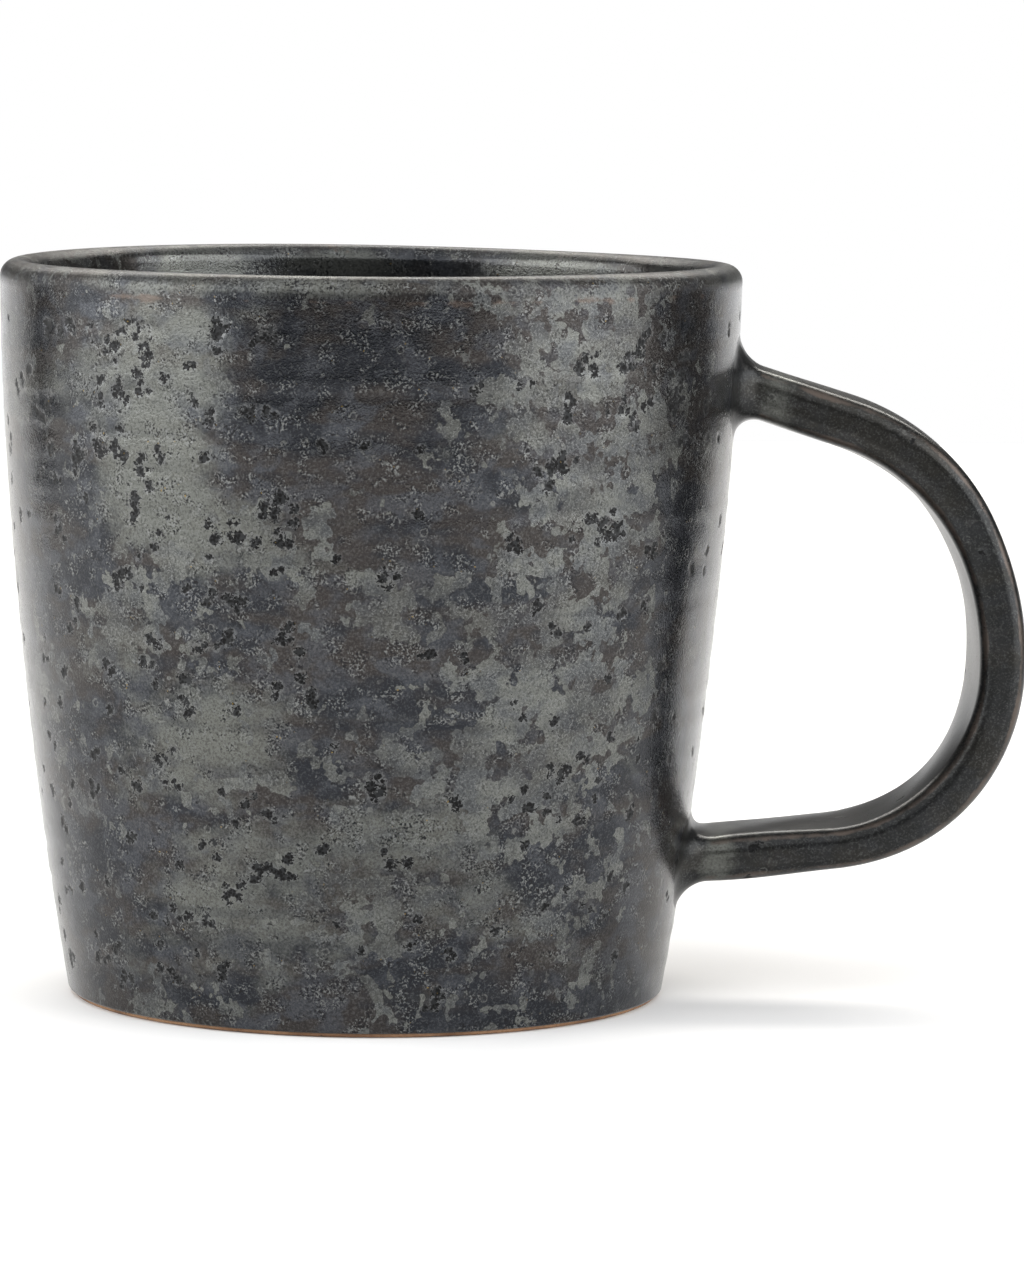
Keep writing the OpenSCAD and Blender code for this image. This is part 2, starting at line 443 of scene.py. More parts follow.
class Nodes:
    """Short calls for building a node tree."""

    def __init__(self, name):
        self.material = bpy.data.materials.new(name)
        self.material.use_nodes = True
        self.tree = self.material.node_tree
        self.tree.nodes.clear()
        self.out = self.add("ShaderNodeOutputMaterial")
        self.shader = self.add("ShaderNodeBsdfPrincipled")
        self.link(self.shader.outputs[0], self.out.inputs["Surface"])
        self.coord = self.add("ShaderNodeTexCoord").outputs["Object"]

    def add(self, kind, **values):
        node = self.tree.nodes.new(kind)
        for key, value in values.items():
            setattr(node, key, value)
        return node

    def link(self, source, target):
        self.tree.links.new(source, target)

    def put(self, socket, value):
        if isinstance(value, bpy.types.NodeSocket):
            self.link(value, socket)
        else:
            socket.default_value = value

    def math(self, op, a, b, c=None):
        node = self.add("ShaderNodeMath", operation=op)
        self.put(node.inputs[0], a)
        self.put(node.inputs[1], b)
        if c is not None:
            self.put(node.inputs[2], c)
        return node.outputs[0]

    def scaled(self, x, y, z):
        """The object's coordinates over the given sizes in millimetres."""
        node = self.add("ShaderNodeMapping")
        self.link(self.coord, node.inputs["Vector"])
        node.inputs["Scale"].default_value = (1 / (x * MM), 1 / (y * MM), 1 / (z * MM))
        return node.outputs[0]

    def noise(self, vector, detail=2.0, rough=0.5, distort=0.0, colour=False):
        node = self.add("ShaderNodeTexNoise")
        node.inputs["Scale"].default_value = 1.0
        node.inputs["Detail"].default_value = detail
        node.inputs["Roughness"].default_value = rough
        node.inputs["Distortion"].default_value = distort
        self.link(vector, node.inputs["Vector"])
        return node.outputs["Color" if colour else "Fac"]

    def cells(self, vector):
        """Distance to the nearest cell's centre, and a random value for each cell."""
        node = self.add("ShaderNodeTexVoronoi")
        node.inputs["Scale"].default_value = 1.0
        self.link(vector, node.inputs["Vector"])
        split = self.add("ShaderNodeSeparateColor")
        self.link(node.outputs["Color"], split.inputs[0])
        return node.outputs["Distance"], split.outputs[0]

    def moved(self, vector, by, amount):
        """A vector pushed about by a colour, centred on no push."""
        shift = self.add("ShaderNodeVectorMath", operation="MULTIPLY_ADD")
        self.link(by, shift.inputs[0])
        shift.inputs[1].default_value = (amount,) * 3
        shift.inputs[2].default_value = (-amount / 2,) * 3
        add = self.add("ShaderNodeVectorMath", operation="ADD")
        self.link(vector, add.inputs[0])
        self.link(shift.outputs[0], add.inputs[1])
        return add.outputs[0]

    def ramp(self, value, low, high, to_low=0.0, to_high=1.0):
        """A smooth step of a value, from to_low at low to to_high at high."""
        node = self.add("ShaderNodeMapRange", interpolation_type="SMOOTHSTEP")
        self.put(node.inputs["Value"], value)
        self.put(node.inputs["From Min"], low)
        self.put(node.inputs["From Max"], high)
        self.put(node.inputs["To Min"], to_low)
        self.put(node.inputs["To Max"], to_high)
        return node.outputs[0]

    def mix(self, fac, a, b):
        node = self.add("ShaderNodeMix", data_type="RGBA")
        self.put(node.inputs["Factor"], fac)
        self.put(node.inputs[6], a)
        self.put(node.inputs[7], b)
        return node.outputs[2]

    def attribute(self, name):
        return self.add("ShaderNodeAttribute", attribute_name=name).outputs["Fac"]

    def bump(self, height, distance_mm, strength=1.0, normal=None):
        node = self.add("ShaderNodeBump")
        node.inputs["Strength"].default_value = strength
        node.inputs["Distance"].default_value = distance_mm * MM
        self.link(height, node.inputs["Height"])
        if normal is not None:
            self.link(normal, node.inputs["Normal"])
        return node.outputs[0]


def rgb(r, g, b, share=1.0):
    """A colour given as it looks on screen, 0 to 255, for a colour socket.

    Share is how much of it is the glaze's own colour: the rest of what is seen is reflection.
    """
    out = []
    for v in (r, g, b):
        v = v / 255
        out.append(share * (v / 12.92 if v <= 0.04045 else ((v + 0.055) / 1.055) ** 2.4))
    return (*out, 1.0)


# The shares for the glaze's dark tones, its pale ones, and the stars and the leaves inside the pits
DARK = 0.66
PALE = 0.56
STAR = 0.3
LEAF = 0.45

# The cup's glaze where it is thin and where it is thick, and the handle's
THIN, THICK = (66, 62, 60), (45, 48, 54)
HANDLE_THIN, HANDLE_THICK = (52, 51, 48), (46, 47, 47)


def slate_glaze(name, calm):
    """The mottled reactive glaze. Calm is 0 on the cup, and 1 on the handle, where it ran smooth and dark.

    The sizes given to scaled are in mm, as are the bump distances.
    """
    n = Nodes(name)
    pit, island_share, veil = (n.attribute(k) for k in ("pit", "island", "veil"))
    edge, ridge, lip = (n.attribute(k) for k in ("edge", "ridge", "lip"))
    wild = 1 - calm
    push = n.noise(n.scaled(0.5, 0.5, 0.5), 1, colour=True)
    grain = n.noise(n.moved(n.scaled(0.28, 0.28, 0.28), push, 1.7), 1.5, 0.65)
    cell_far, cell_pick = n.cells(n.moved(n.scaled(0.4, 0.4, 0.4), push, 0.9))

    # Ground: brown-grey where the glaze is thin, blue-black where it is thick, milky in soft clouds
    bands = n.noise(n.scaled(26, 26, 5.5), 2, 0.5)
    cloud = n.noise(n.scaled(8, 8, 6), 4, 0.6, 0.4)
    cool = n.math("ADD", n.math("MULTIPLY", bands, 0.55), n.math("MULTIPLY", cloud, 0.45))
    cool = n.ramp(n.math("MULTIPLY_ADD", island_share, -0.1, cool), 0.42, 0.52)
    thin, thick = (THIN, THICK) if wild else (HANDLE_THIN, HANDLE_THICK)
    colour = n.mix(cool, rgb(*thin, DARK), rgb(*thick, DARK))
    milky = n.noise(n.scaled(4.2, 4.2, 3.0), 2.5, 0.55, 0.3)
    milk = n.ramp(milky, 0.45, 0.62, 0.0, 0.15 + 0.65 * wild)
    milk = n.math("MULTIPLY", milk, n.math("MULTIPLY_ADD", island_share, -0.7, 1.1))
    colour = n.mix(milk, colour, rgb(80, 83, 89, DARK))

    # A soft pale veil with drifting edges; on the cup's lip the same veil also carries a painted highlight
    # along the crest
    drift = n.noise(n.scaled(5.5, 5.5, 3.6), 4, 0.6)
    veiled = n.math("MULTIPLY_ADD", drift, 1.1, n.math("SUBTRACT", veil, 0.55))
    veiled = n.ramp(veiled, 0.25, 0.75, 0.0, 0.85)
    colour = n.mix(veiled, colour, rgb(127, 129, 123, PALE))

    # Pale islands with lobed edges, in two sizes
    island_push = n.noise(n.scaled(1.6, 1.6, 1.6), 2, colour=True)
    large = n.noise(n.moved(n.scaled(3.2, 3.2, 3.2), island_push, 0.9), 1, 0.5)
    small = n.noise(n.moved(n.scaled(1.2, 1.2, 1.4), island_push, 0.5), 1, 0.5)
    level = n.math("MULTIPLY_ADD", small, 0.34, n.math("MULTIPLY", large, 0.78))
    streak = n.noise(n.scaled(13, 13, 1.9), 2, 0.5, 0.2)
    level = n.math("MULTIPLY_ADD", streak, 0.2, n.math("SUBTRACT", level, 0.1))
    level = n.math("ADD", level, n.math("MULTIPLY_ADD", island_share, 0.36, -0.18))
    island = n.ramp(level, 0.615, 0.621, 0.0, 0.2 + 0.7 * wild)
    tone = n.noise(n.scaled(4, 4, 3.4), 3, 0.6)
    island_tone = n.mix(n.ramp(tone, 0.36, 0.62), rgb(106, 109, 111, PALE), rgb(134, 136, 131, PALE))
    colour = n.mix(n.ramp(level, 0.59, 0.614, 0.0, 0.3), colour, rgb(58, 54, 51, DARK))
    thinned = n.ramp(n.noise(n.scaled(9, 9, 7), 2), 0.38, 0.58, 0.5, 1.0)
    colour = n.mix(n.math("MULTIPLY", island, thinned), colour, island_tone)

    # Grain over everything, and frosted patches where it is at its strongest
    frost = n.ramp(n.noise(n.scaled(2.6, 2.6, 2.2), 3, 0.6), 0.5, 0.61, 0.0, 0.1 + 0.65 * wild)
    frost = n.math("MULTIPLY", frost, n.math("MULTIPLY_ADD", island, -0.7, 1.0))
    strength = n.math("ADD", frost, 0.42 - 0.12 * calm)
    strength = n.math("MULTIPLY_ADD", lip, 0.2, strength)
    dark_specks = n.math("MULTIPLY", n.ramp(grain, 0.48, 0.38), strength)
    lightness = n.math("MAXIMUM", n.math("MAXIMUM", veiled, island), frost)
    pale_strength = n.math("MULTIPLY", strength, n.math("MULTIPLY_ADD", lightness, 0.5, 0.5))
    pale_specks = n.math("MULTIPLY", n.ramp(grain, 0.53, 0.63), pale_strength)
    colour = n.mix(dark_specks, colour, rgb(36, 36, 38, DARK))
    colour = n.mix(pale_specks, colour, rgb(142, 144, 143, PALE))

    # Small healed bubbles: a pale ring round a dark centre
    bubble_far, bubble_pick = n.cells(n.moved(n.scaled(2.7, 2.7, 2.7), push, 0.12))
    chosen = n.ramp(bubble_pick, 0.74 + 0.2 * calm, 0.76 + 0.2 * calm)
    ring = n.math("MULTIPLY", n.ramp(bubble_far, 0.12, 0.16), n.ramp(bubble_far, 0.22, 0.18))
    ring = n.math("MULTIPLY", n.math("MULTIPLY", ring, chosen), n.ramp(grain, 0.38, 0.5))
    heart = n.math("MULTIPLY", n.ramp(bubble_far, 0.13, 0.09), chosen)
    colour = n.mix(n.math("MULTIPLY", ring, 0.6), colour, rgb(140, 141, 138, PALE))
    colour = n.mix(n.math("MULTIPLY", heart, 0.5), colour, rgb(46, 46, 48, DARK))

    # Glaze thins on the ridges and gathers between them
    colour = n.mix(n.ramp(ridge, -0.06, 0.0, 0.28, 0.0), colour, rgb(44, 47, 53, DARK))
    colour = n.mix(n.ramp(ridge, 0.02, 0.07, 0.0, 0.12), colour, rgb(124, 121, 113, PALE))

    # Breaks on edges: brown where the glaze runs thin
    patchy = n.noise(n.scaled(5, 5, 5), 4, 0.65)
    ragged = 2.4 - 1.2 * calm
    worn = n.math("ADD", edge, n.math("MULTIPLY_ADD", patchy, ragged, -ragged / 2))
    worn = n.ramp(worn, 0.72, 1.05, 0.0, 0.7)
    colour = n.mix(worn, colour, rgb(110, 98, 90, DARK))

    # Pits: near-black stars made of small leaf-like cells, with pale seams round them
    leaves = n.math("MULTIPLY_ADD", cell_pick, 0.5, n.math("MULTIPLY_ADD", grain, 1.1, -0.8))
    star = n.ramp(n.math("ADD", pit, leaves), 0.43, 0.46)
    seam = n.ramp(cell_far, 0.42, 0.62)
    lace = n.math("MAXIMUM", n.ramp(grain, 0.47, 0.4), n.math("MULTIPLY", seam, 0.7))
    halo = n.math("MULTIPLY", n.ramp(pit, 0.1, 0.34), lace)
    colour = n.mix(n.math("MULTIPLY", halo, 0.1 + 0.33 * wild), colour, rgb(156, 158, 158, PALE))
    leaf = n.mix(n.math("MULTIPLY", seam, 0.15 + 0.3 * wild), rgb(32, 32, 33, STAR), rgb(82, 84, 86, LEAF))
    colour = n.mix(star, colour, leaf)

    # A few golden flecks, where it is frosted
    gold = n.math("MULTIPLY", n.ramp(cell_pick, 0.975, 0.98), n.ramp(cell_far, 0.3, 0.2))
    gold = n.math("MULTIPLY", gold, n.math("MULTIPLY", frost, 1.2 * wild))
    colour = n.mix(gold, colour, rgb(158, 132, 72, PALE))

    # Glossy where it is dark, and duller on the islands, at the lip and in the pits
    rough = n.math("MULTIPLY_ADD", island, 0.07, 0.19 + 0.12 * calm)
    rough = n.math("MULTIPLY_ADD", lip, 0.22, rough)
    rough = n.math("ADD", rough, n.math("MULTIPLY_ADD", grain, 0.16, -0.08))
    rough = n.math("ADD", rough, n.math("MULTIPLY", star, 0.22))

    relief = n.math("ADD", grain, n.math("MULTIPLY", star, -0.45))
    relief = n.math("ADD", relief, n.math("MULTIPLY", ring, 0.25))
    skin = n.bump(relief, 0.035, 0.65 - 0.3 * calm)
    waves = n.bump(n.noise(n.scaled(2.2, 2.2, 1.4), 2), 0.05, 0.4, skin)

    s = n.shader.inputs
    n.link(colour, s["Base Color"])
    n.link(rough, s["Roughness"])
    n.link(waves, s["Normal"])
    s["Metallic"].default_value = 0.75
    s["IOR"].default_value = 1.5
    return n.material


def bare_clay(name, light, dark, speck):
    """Unglazed fired clay, with grog in it and the fine lines of turning."""
    n = Nodes(name)
    cloud = n.noise(n.scaled(7, 7, 3), 4, 0.6)
    colour = n.mix(n.ramp(cloud, 0.35, 0.65), light, dark)
    grog, _ = n.cells(n.scaled(0.9, 0.9, 0.9))
    grog_mask = n.ramp(grog, 0.12, 0.22, 1.0, 0.0)
    colour = n.mix(n.math("MULTIPLY", grog_mask, 0.8), colour, speck)
    sand = n.noise(n.scaled(0.3, 0.3, 0.3), 3, 0.65)
    colour = n.mix(n.ramp(sand, 0.4, 0.7, 0.0, 0.35), colour, dark)
    drag = n.noise(n.scaled(9, 9, 0.35), 3, 0.6)
    relief = n.math("ADD", n.math("MULTIPLY", sand, 0.7), n.math("MULTIPLY", drag, 0.6))
    relief = n.math("ADD", relief, n.math("MULTIPLY", grog_mask, 0.5))
    s = n.shader.inputs
    n.link(colour, s["Base Color"])
    n.link(n.ramp(sand, 0.3, 0.7, 0.72, 0.9), s["Roughness"])
    n.link(n.bump(relief, 0.08, 0.7), s["Normal"])
    return n.material


glaze = slate_glaze("slate_glaze", 0.0)
handle_look = slate_glaze("slate_glaze_on_handle", 1.0)
clay = bare_clay("stoneware_clay", rgb(152, 118, 88), rgb(112, 80, 56), rgb(66, 48, 36))
slip = bare_clay("joining_slip", rgb(160, 124, 92), rgb(128, 92, 64), rgb(92, 66, 48))

# ---- The cup's skins ----

# Steps along an outline, in mm, on hidden surfaces and on the shown wall outside and inside
HIDDEN_STEP = 2.0
WALL_STEP = 0.8
BORE_STEP = 0.9
LIP_STEPS = np.linspace(0, 1, 27)
# Crowds the lip's rings towards its crest
LIP_CROWDING = 1.6
# Vertices in the rings of the liner's floor: the largest radius for each count
FLOOR_COUNTS = ((2.5, 22), (6, 44), (14, 88), (30, 176), (math.inf, AROUND))


def ring_count(r, table):
    """The number of vertices for a ring of radius r, from pairs of largest radius and count."""
    return next(count for limit, count in table if r <= limit)


def polar(points):
    return np.arctan2(points[:, 1], points[:, 0]), points[:, 2]


def push_radially(points, amount):
    r = np.maximum(np.hypot(points[:, 0], points[:, 1]), 1e-6)
    scale = 1 + amount / r
    return points * np.column_stack([scale, scale, np.ones_like(scale)])


def finish_attributes(obj, pit, island, veil, edge, ridge, lip=0.0):
    """Stores the fields that the glaze's material reads, and smooths the mesh."""
    for name, values in (("pit", pit), ("island", island), ("veil", veil), ("edge", edge), ("ridge", ridge),
                         ("lip", lip)):
        set_attribute(obj.data, name, values)
    finish_mesh(obj)


def outer_glaze_piece():
    """The glaze outside, from a rolled edge above the foot to the lip's crest."""
    roll_z = GLAZE_LINE + GLAZE_T
    foot = arc(wall_r(roll_z) - GLAZE_T, roll_z, GLAZE_T, np.linspace(-90, 0, 6))
    z = spaced(roll_z, LIP_Z, WALL_STEP)[1:]
    wall = np.column_stack([wall_r(z), z])
    lip = arc(LIP_CENTRE, LIP_Z, LIP_R, 90 * (1 - (1 - LIP_STEPS) ** LIP_CROWDING))[1:]
    back = arc(LIP_CENTRE, LIP_Z, LIP_R - GLAZE_T, np.linspace(90, 0, 7))
    z = spaced(LIP_Z, GLAZE_LINE, HIDDEN_STEP)[1:]
    inner = np.column_stack([wall_r(z) - GLAZE_T, z])
    outline = np.vstack([foot, wall, lip, back, inner])
    shown = len(foot) + len(wall) + len(lip)
    counts = [AROUND] * shown + [HIDDEN] * (len(outline) - shown)
    points, faces = rings_mesh(turned(outline, counts), True)
    obj = make_object("outer_glaze_skin", points, faces)
    pits = outer_pits()
    refine(obj, pits)
    points = coords(obj.data)
    angle, z = polar(points)
    ridge = ridge_height(angle, z)
    near_surface = smoothstep(-0.35, -0.1, np.hypot(points[:, 0], points[:, 1]) - wall_r(z))
    reach = nearest_pits(points, pits) * np.where(z < LIP_Z, near_surface, 0)
    normal = normals(obj.data)
    placed = push_radially(points, outer_offset(angle, z)) - normal * pit_profile(reach)[:, None]
    placed[:, 2] += rim_lift(angle, z)
    set_coords(obj.data, placed)
    # The glaze breaks to brown in a band under the lip and again at the foot
    edge = 0.72 * smoothstep(LIP_Z - 2.0, LIP_Z - 1.2, z) * (1 - smoothstep(LIP_Z - 0.5, LIP_Z + 0.2, z))
    edge = edge + 0.5 * (1 - smoothstep(0.6, 2.0, z))
    lip = smoothstep(LIP_Z - 0.6, LIP_Z + 0.4, z)
    # The 0.35 * lip term paints the lip's crest paler: a painted highlight along the rounded lip, carried in
    # the veil attribute on top of the real veil patches
    veil = np.clip(veil_field(angle, z) + 0.35 * lip, 0, 1)
    finish_attributes(obj, reach, island_field(angle, z), veil, edge, ridge * smoothstep(1, 6, z), lip)
    return obj


def liner_piece():
    """The glaze inside, from the lip's crest down over the floor, with a skin of clay side behind it."""
    lip = arc(LIP_CENTRE, LIP_Z, LIP_R, 90 + 90 * LIP_STEPS ** LIP_CROWDING)
    z = spaced(LIP_Z, LOW_Z, BORE_STEP)[1:]
    wall = np.column_stack([bore_r(z), z])
    curve = arc(FLAT_R, LOW_Z, FLOOR_FILLET, np.linspace(0, -90, 17))[1:]
    radii = spaced(FLAT_R, BORE_STEP, BORE_STEP)[1:]
    flat = np.column_stack([radii, np.full(len(radii), FLOOR_Z)])
    shown = np.vstack([lip, wall, curve, flat])
    counts = [AROUND] * (len(lip) + len(wall))
    counts += [ring_count(r, FLOOR_COUNTS) for r in shown[len(counts):, 0]]
    hidden_flat = np.column_stack([radii[::-1][::3], np.full(len(radii[::3]), FLOOR_Z - GLAZE_T)])
    hidden_curve = arc(FLAT_R, LOW_Z, FLOOR_FILLET + GLAZE_T, np.linspace(-90, 0, 9))
    z = spaced(LOW_Z, LIP_Z, HIDDEN_STEP)[1:]
    hidden_wall = np.column_stack([bore_r(z) + GLAZE_T, z])
    hidden_lip = arc(LIP_CENTRE, LIP_Z, LIP_R - GLAZE_T, np.linspace(180, 90, 7))[1:]
    hidden = np.vstack([hidden_flat, hidden_curve, hidden_wall, hidden_lip])
    hidden_counts = [ring_count(r, ((6, 22), (20, 88), (math.inf, HIDDEN))) for r in hidden[:, 0]]
    # The skin is closed at the crest, and by a point on the axis on each side of the floor
    rings = turned(shown, counts)
    under = turned(hidden, hidden_counts)
    points, faces = rings_mesh(rings, False, (None, (0, 0, FLOOR_Z)))
    points2, faces2 = rings_mesh(under, False, ((0, 0, FLOOR_Z - GLAZE_T), None))
    offset = len(points)
    faces = faces + [tuple(i + offset for i in face) for face in faces2]
    points = np.vstack([points, points2])
    last = offset + sum(len(r) for r in under[:-1])
    bridge(faces, last, len(under[-1]), 0, len(rings[0]))
    obj = make_object("liner_glaze_skin", points, faces)
    pits = bore_pits()
    refine(obj, pits)
    points = coords(obj.data)
    angle, z = polar(points)
    r = np.hypot(points[:, 0], points[:, 1])
    reach = nearest_pits(points, pits) * (1 - smoothstep(0.1, 0.35, r - bore_r(z)))
    rings_at = inner_offset(angle, z)
    placed = push_radially(points, -rings_at)
    placed -= normals(obj.data) * pit_profile(reach)[:, None]
    # The spiral that the potter's finger leaves on the floor, round a low button in the middle
    on_floor = 1 - smoothstep(FLAT_R - 4, FLAT_R + 3, r)
    spiral = 0.16 * np.sin(2 * math.pi * r / 5.2 - angle) * smoothstep(0.5, 6, r)
    placed[:, 2] += on_floor * (spiral + 0.25 * np.exp(-(r / 5) ** 2))
    placed[:, 2] += rim_lift(angle, z)
    set_coords(obj.data, placed)
    edge = 0.5 * smoothstep(LIP_Z - 1.0, MUG_H - 0.3, z)
    veil = np.clip(veil_field(angle + LINER_TURN, z) + patches(angle, z, LINER_VEIL), 0, 1)
    lip = smoothstep(MUG_H - 1.4, MUG_H - 0.5, z)
    finish_attributes(obj, reach, island_field(angle + LINER_TURN, z), veil, edge, rings_at * 1.2, lip)
    return obj


def cup_body_piece():
    """The clay under the skins, with its turned foot ring showing below the glaze line."""
    ring_edge = float(wall_r(FOOT_CORNER)) - GLAZE_T - FOOT_CORNER
    slope_r = RECESS_R + RECESS_SLOPE
    radii = spaced(2.0, RECESS_R, 1.4)
    recess = np.column_stack([radii, np.full(len(radii), RECESS_H)])
    slope = np.column_stack([np.linspace(RECESS_R, slope_r, 7)[1:], np.linspace(RECESS_H, 0, 7)[1:]])
    radii = spaced(slope_r, ring_edge, 0.3)[1:]
    flat = np.column_stack([radii, np.zeros(len(radii))])
    lean = math.degrees(math.atan(float(wall_r(FOOT_CORNER + 0.5) - wall_r(FOOT_CORNER - 0.5))))
    corner = arc(ring_edge, FOOT_CORNER, FOOT_CORNER, np.linspace(-90, -lean, 9))[1:]
    z = np.concatenate([[GLAZE_LINE], spaced(3.0, LIP_Z, HIDDEN_STEP)])
    wall = np.column_stack([wall_r(z) - GLAZE_T, z])
    lip = arc(LIP_CENTRE, LIP_Z, LIP_R - GLAZE_T, np.linspace(0, 180, 13))[1:]
    z = spaced(LIP_Z, LOW_Z, HIDDEN_STEP)[1:]
    bore = np.column_stack([bore_r(z) + GLAZE_T, z])
    curve = arc(FLAT_R, LOW_Z, FLOOR_FILLET + GLAZE_T, np.linspace(0, -90, 9))[1:]
    radii = spaced(FLAT_R, 2.0, 2.6)[1:]
    floor = np.column_stack([radii, np.full(len(radii), FLOOR_Z - GLAZE_T)])
    outline = np.vstack([recess, slope, flat, corner, wall, lip, bore, curve, floor])
    shown = len(recess) + len(slope) + len(flat) + len(corner)
    counts = [ring_count(r, ((5, 22), (14, 88), (math.inf, AROUND if len(recess) <= k < shown else HIDDEN)))
              for k, (r, _) in enumerate(outline)]
    points, faces = rings_mesh(turned(outline, counts), False,
                               ((0, 0, RECESS_H), (0, 0, FLOOR_Z - GLAZE_T)))
    obj = make_object("cup_body_clay", points, faces)
    angle, z = polar(points)
    r = np.hypot(points[:, 0], points[:, 1])
    is_bore = r < (wall_r(z) + bore_r(z)) / 2
    wall_side = np.where(is_bore & (z > 5), -inner_offset(angle, z), outer_offset(angle, z))
    placed = push_radially(points, wall_side * smoothstep(0.5, 4, z))
    placed[:, 2] += rim_lift(angle, z)
    # Fine turning lines on the ring that the mug stands on, and a wavering edge where the glaze was wiped off
    on_ring = (z < 0.05) & (r > RECESS_R)
    chatter = 0.02 * np.sin(2 * math.pi * r / 0.9 - angle) + 0.015 * np.sin(7 * angle + r)
    placed[:, 2] += np.where(on_ring, np.clip(chatter + 0.03, 0, 0.07), 0)
    rough_edge = 0.05 * np.sin(23 * angle) + 0.05 * np.sin(41 * angle + 1.3)
    placed[:, 2] += np.where((z > 0.3) & (z <= GLAZE_LINE + 0.01), rough_edge, 0)
    set_coords(obj.data, placed)
    finish_mesh(obj)
    return obj


def base_glaze_piece():
    """The glaze in the recess under the base, with a rounded rim."""
    top = RECESS_H
    bottom = RECESS_H - GLAZE_T
    radii = spaced(1.0, RECESS_R - GLAZE_T, 0.7)
    under = np.column_stack([radii, np.full(len(radii), bottom)])
    quarter = np.linspace(0, math.pi / 2, 6)[1:]
    rim = np.column_stack([RECESS_R - GLAZE_T * np.cos(quarter), bottom + GLAZE_T * np.sin(quarter)])
    radii = spaced(RECESS_R, 1.0, 3.0)[1:]
    back = np.column_stack([radii, np.full(len(radii), top)])
    outline = np.vstack([under, rim, back])
    shown = len(under) + len(rim)
    counts = [ring_count(r, ((4, 22), (12, 88), (math.inf, HIDDEN if k < shown else 88)))
              for k, (r, _) in enumerate(outline)]
    points, faces = rings_mesh(turned(outline, counts), False, ((0, 0, bottom), (0, 0, top)))
    obj = make_object("base_glaze_disc", points, faces)
    angle, z = polar(points)
    r = np.hypot(points[:, 0], points[:, 1])
    shown_side = z < top - 0.3
    rings_at = 0.06 * np.sin(2 * math.pi * r / 3.4 - angle) * smoothstep(1, 6, r)
    points[:, 2] += np.where(shown_side, rings_at * (1 - smoothstep(RECESS_R - 3, RECESS_R - 1, r)), 0)
    set_coords(obj.data, points)
    islands = np.clip(0.4 + 0.25 * np.sin(3 * angle + r / 6), 0, 1)
    finish_attributes(obj, 0.0, islands, 0.2, 0.6 * smoothstep(RECESS_R - 1.2, RECESS_R, r), rings_at * 2)
    return obj


# ---- The handle ----


def direction(heading):
    h = math.radians(heading)
    return np.array([math.cos(h), math.sin(h)])


def bend_step(heading, r, turn):
    """How far the centre line moves along a bend that turns down by the given angle."""
    a, b = math.radians(heading), math.radians(heading - turn)
    return r * np.array([math.sin(a) - math.sin(b), math.cos(b) - math.cos(a)])


def cross2(a, b):
    return a[0] * b[1] - a[1] * b[0]


def strap_t(z):
    """The strap's thickness at a height."""
    return STRAP_LOW_T + (STRAP_TOP_T - STRAP_LOW_T) * (z - LOWER_ROOT_Z) / (UPPER_ROOT_Z - LOWER_ROOT_Z)


# Points on each rounded edge, wide side and narrow side of the strap's section
CORNER_POINTS = 12
FLAT_POINTS = 34
SIDE_POINTS = 7
# How far the wide sides bulge
CROWN = 0.22
# How far the fillets' rims sink into the cup's glaze, so that no gap shows
ROOT_SINK = 0.012
# Steps along the strap on its shown and hidden surfaces
STRAP_STEP = 0.5
HIDDEN_STRAP_STEP = 1.6
# How far the hand-pulled strap swells and narrows
SWELL = 0.09
HANDLE_CLUSTERS = 34


def section(t, skin):
    """Points round the strap's section, and each point's outward direction and edge value."""
    across, up, edge = STRAP_W / 2 - STRAP_EDGE, t / 2 - STRAP_EDGE, STRAP_EDGE - skin
    points, outward, breaks = [], [], []
    for quarter, (cx, cy) in enumerate([(across, up), (-across, up), (-across, -up), (across, -up)]):
        for i in range(CORNER_POINTS + 1):
            a = math.radians(90 * (quarter + i / CORNER_POINTS))
            points.append((cx + edge * math.cos(a), cy + edge * math.sin(a)))
            outward.append((math.cos(a), math.sin(a)))
            breaks.append(1 - abs(2 * i / CORNER_POINTS - 1) ** 2)
        wide = quarter in (0, 2)
        count = FLAT_POINTS if wide else SIDE_POINTS
        side = 1 if quarter < 2 else -1
        for i in range(1, count):
            f = 1 - 2 * i / count
            if wide:
                crown = CROWN * (1 - f * f)
                points.append((side * across * f, side * (up + edge + crown)))
                outward.append((0, side))
            else:
                points.append((-side * (across + edge), side * up * f))
                outward.append((-side, 0))
            breaks.append(0)
    return np.array(points), np.array(outward), np.array(breaks, float)


handle_waves = Waves((1, 3), (22, 60), 6)


def arm_ring(root_z, slope, a, skin):
    """One ring of the fillet at a root: on the wall at 0 degrees, on the strap at 90."""
    t = strap_t(root_z)
    points, outward, breaks = section(t, skin)
    a = math.radians(a)
    spread, out = FILLET_R * (1 - math.sin(a)), FILLET_R * (1 - math.cos(a))
    y = points[:, 0] + outward[:, 0] * spread
    rise = points[:, 1] / math.cos(math.radians(slope)) + outward[:, 1] * spread
    x = np.full(len(y), float(wall_r(root_z)))
    tan = math.tan(math.radians(slope))
    # The wall's radius and the height on it depend on each other, and settle in a few rounds
    for _ in range(4):
        z = root_z - tan * (x - float(wall_r(root_z))) + rise
        angle = np.arctan2(y, x)
        wall = wall_r(z) + outer_offset(angle, z) - skin - ROOT_SINK
        x = np.sqrt(wall ** 2 - y ** 2) + out
    z = root_z - tan * (x - float(wall_r(root_z))) + rise
    return np.column_stack([x, y, z]), breaks * smoothstep(30, 90, math.degrees(a))


def strap_ring(centre, heading, skin):
    """One ring of the strap, square to its centre line."""
    points, _, breaks = section(strap_t(centre[1]), skin)
    up = direction(heading + 90)
    ring = np.column_stack([centre[0] + points[:, 1] * up[0], points[:, 0], centre[1] + points[:, 1] * up[1]])
    return ring, breaks


